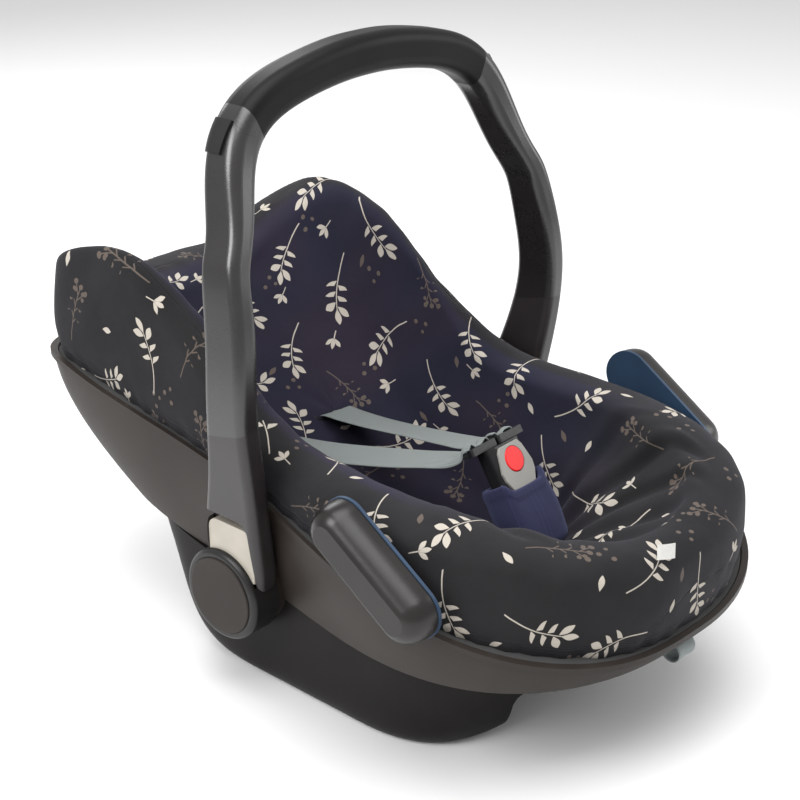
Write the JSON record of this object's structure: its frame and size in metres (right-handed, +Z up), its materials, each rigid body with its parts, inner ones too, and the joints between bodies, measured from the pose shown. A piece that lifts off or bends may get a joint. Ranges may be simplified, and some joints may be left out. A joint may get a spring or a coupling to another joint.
{
  "type": "infant car seat",
  "caption": "Rear-facing infant seat: padded bucket on a runner base, swinging carry handle, push buttons, belt guides and a buckled harness.",
  "frame": {"origin": "on the floor, under the middle of the seat's bounding box", "axes": "+X to the child's left, +Y to the head end, +Z up"},
  "size_m": [0.474, 0.6764, 0.5785],
  "materials": {
    "shell_plastic": "satin moulded plastic with fine grain",
    "base_plastic": "satin moulded plastic with fine grain",
    "foam": "bead foam",
    "cover_fabric": "printed jersey",
    "steel": "plated",
    "handle_plastic": "satin",
    "grip_plastic": "satin soft-touch",
    "hub_plastic": "satin",
    "cap_plastic": "fine matt grain",
    "button_plastic": "smooth satin",
    "guide_plastic": "satin",
    "guide_blue": "satin",
    "webbing": "woven polyester webbing",
    "buckle_black": "satin",
    "buckle_silver": "silver lacquer",
    "buckle_red": "satin",
    "pad_fabric": "brushed knit",
    "adjuster_grey": "satin",
    "tag_fabric": "woven satin"
  },
  "bodies": {
    "carrier": {"upper_shell": "shell_plastic", "right_pivot_boss": "shell_plastic", "left_pivot_boss": "shell_plastic", "lower_base": "base_plastic", "foam_liner": "foam", "seat_cover": "cover_fabric", "base_screws": "steel", "right_pivot_pin": "steel", "left_pivot_pin": "steel", "buckle_spring": "steel", "strap_yoke": "steel", "adjuster_spring": "steel", "right_belt_guide": "guide_plastic", "left_belt_guide": "guide_plastic", "right_belt_guide_insert": "guide_blue", "left_belt_guide_insert": "guide_blue", "right_shoulder_strap": "webbing", "left_shoulder_strap": "webbing", "crotch_strap": "webbing", "adjuster_strap": "webbing", "buckle_housing": "buckle_black", "right_buckle_tongue": "buckle_black", "left_buckle_tongue": "buckle_black", "right_slot_bezel": "buckle_black", "left_slot_bezel": "buckle_black", "adjuster_housing": "buckle_black", "buckle_plate": "buckle_silver", "crotch_pad": "pad_fabric", "cover_tag": "tag_fabric"},
    "handle": {"right_lower_arm": "handle_plastic", "left_lower_arm": "handle_plastic", "right_upper_arm": "handle_plastic", "left_upper_arm": "handle_plastic", "handle_grip": "grip_plastic", "right_handle_tab": "grip_plastic", "left_handle_tab": "grip_plastic", "right_hub_ring": "hub_plastic", "left_hub_ring": "hub_plastic", "right_hub_cap": "cap_plastic", "left_hub_cap": "cap_plastic", "right_release_spring": "steel", "left_release_spring": "steel", "handle_screws": "steel"},
    "right_release_button": {"right_release_button": "button_plastic"},
    "left_release_button": {"left_release_button": "button_plastic"},
    "buckle_button": {"buckle_button": "buckle_red"},
    "adjuster_button": {"adjuster_button": "adjuster_grey"}
  },
  "joints": [
    {"name": "handle_swing", "type": "hinge", "parent": "carrier", "child": "handle", "pos_m": [0, 0.03815, 0.102], "axis": [1, 0, 0], "range_deg": [-100, 0]},
    {"name": "right_release_slide", "type": "slide", "parent": "handle", "child": "right_release_button", "axis": [0, 0, -1], "range_m": [0, 0.006], "stiffness_N_per_m": 500, "springref_m": -0.004, "deforming": ["right_release_spring"]},
    {"name": "left_release_slide", "type": "slide", "parent": "handle", "child": "left_release_button", "axis": [0, 0, -1], "range_m": [0, 0.006], "stiffness_N_per_m": 500, "springref_m": -0.004, "deforming": ["left_release_spring"]},
    {"name": "buckle_press", "type": "slide", "parent": "carrier", "child": "buckle_button", "axis": [0, 0.848, -0.5299], "range_m": [0, 0.003], "stiffness_N_per_m": 1500, "springref_m": -0.002, "deforming": ["buckle_spring"]},
    {"name": "adjuster_press", "type": "slide", "parent": "carrier", "child": "adjuster_button", "axis": [0, 0, 1], "range_m": [0, 0.003], "stiffness_N_per_m": 800, "springref_m": -0.003, "deforming": ["adjuster_spring"]}
  ]
}
